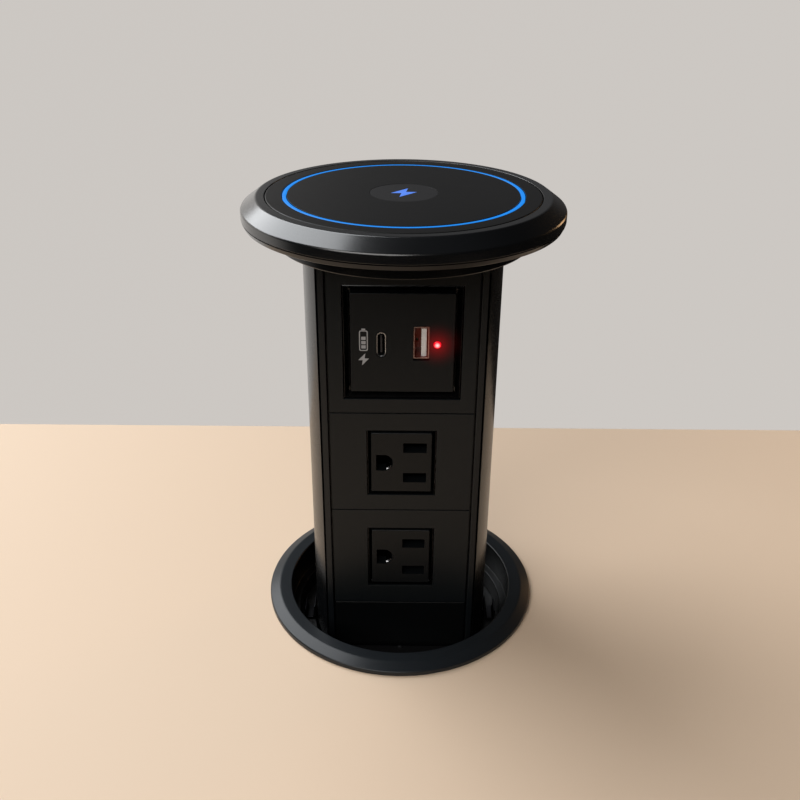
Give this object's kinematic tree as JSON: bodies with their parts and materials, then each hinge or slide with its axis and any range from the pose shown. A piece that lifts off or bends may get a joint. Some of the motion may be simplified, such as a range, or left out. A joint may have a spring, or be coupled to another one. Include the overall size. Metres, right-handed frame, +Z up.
{
  "type": "pop-up power tower",
  "caption": "Retractable worktop power column with wireless charging cap, mains outlets and a USB panel, sliding in a clamped sleeve.",
  "frame": {"origin": "on the column's axis, in the plane of the worktop's top surface that the flange rests on", "axes": "+Z up along the column's axis, -Y the way the outlets face, +X to the right seen from the front"},
  "size_m": [0.12, 0.12, 0.3663],
  "materials": {
    "satin_black": "satin black anodised and painted aluminium",
    "black_plastic": "fine-textured moulded plastic",
    "grey_plastic": "glass-filled nylon, matt",
    "charge_glass": "satin black plate",
    "blue_light": "lit blue light guide",
    "red_light": "lit red lens",
    "steel": "zinc-plated",
    "brass": "stamped",
    "copper": "enamelled litz wire, wound",
    "pale_plastic": "moulded",
    "board_green": "solder resist",
    "ferrite": "sintered",
    "rubber": "matt",
    "nylon": "natural nylon"
  },
  "bodies": {
    "housing": {"flange_ring": "satin_black", "flange_gasket": "rubber", "sleeve_tube": "grey_plastic", "guide_plate": "grey_plastic", "guide_clip_left": "steel", "guide_clip_right": "steel", "end_cap": "grey_plastic", "end_cap_screw_1": "steel", "end_cap_screw_2": "steel"},
    "tower": {"side_shell_left": "satin_black", "side_shell_right": "satin_black", "front_rail_left": "satin_black", "front_rail_right": "satin_black", "rear_cover": "satin_black", "rear_cover_screw_top": "steel", "rear_cover_screw_bottom": "steel", "chassis_spine": "steel", "head_plate": "grey_plastic", "usb_panel": "satin_black", "usb_bezel": "black_plastic", "usb_face": "black_plastic", "usb_c_shell": "steel", "usb_c_tongue": "black_plastic", "usb_a_shell": "steel", "usb_a_tongue": "pale_plastic", "status_led": "red_light", "usb_board": "board_green", "outlet_panel_upper": "satin_black", "outlet_panel_lower": "satin_black", "outlet_bezel_upper": "black_plastic", "outlet_bezel_lower": "black_plastic", "outlet_face_upper": "black_plastic", "outlet_face_lower": "black_plastic", "contact_line_upper": "brass", "contact_line_lower": "brass", "contact_neutral_upper": "brass", "contact_neutral_lower": "brass", "contact_earth_upper": "brass", "contact_earth_lower": "brass", "lower_panel": "satin_black", "tower_foot": "grey_plastic", "stop_ring": "rubber", "guide_shoe_left": "nylon", "guide_shoe_right": "nylon", "cord_gland": "black_plastic", "gland_nut": "black_plastic", "cap_rim": "satin_black", "cap_base": "satin_black", "cap_screw_1": "steel", "cap_screw_2": "steel", "charge_plate": "charge_glass", "light_ring": "blue_light", "mark_disc": "charge_glass", "charge_mark": "blue_light", "coil_carrier": "pale_plastic", "ferrite_disc": "ferrite", "charging_coil": "copper", "charger_board": "board_green"},
    "clamp_washer": {"clamp_washer": "rubber"},
    "clamp_nut": {"clamp_nut": "grey_plastic"}
  },
  "joints": [
    {"name": "tower_slide", "type": "slide", "parent": "housing", "child": "tower", "axis": [0, 0, 1], "range_m": [-0.153, 0]},
    {"name": "washer_slide", "type": "slide", "parent": "housing", "child": "clamp_washer", "axis": [0, 0, 1], "range_m": [-0.035, 0.012]},
    {"name": "nut_turn", "type": "hinge", "parent": "clamp_washer", "child": "clamp_nut", "pos_m": [0, 0, -0.0323], "axis": [0, 0, 1], "range_deg": [-3200, 1100]}
  ],
  "couplings": [
    {"joint": "nut_turn", "follows": "washer_slide", "rad_per_m": 1570.8}
  ]
}
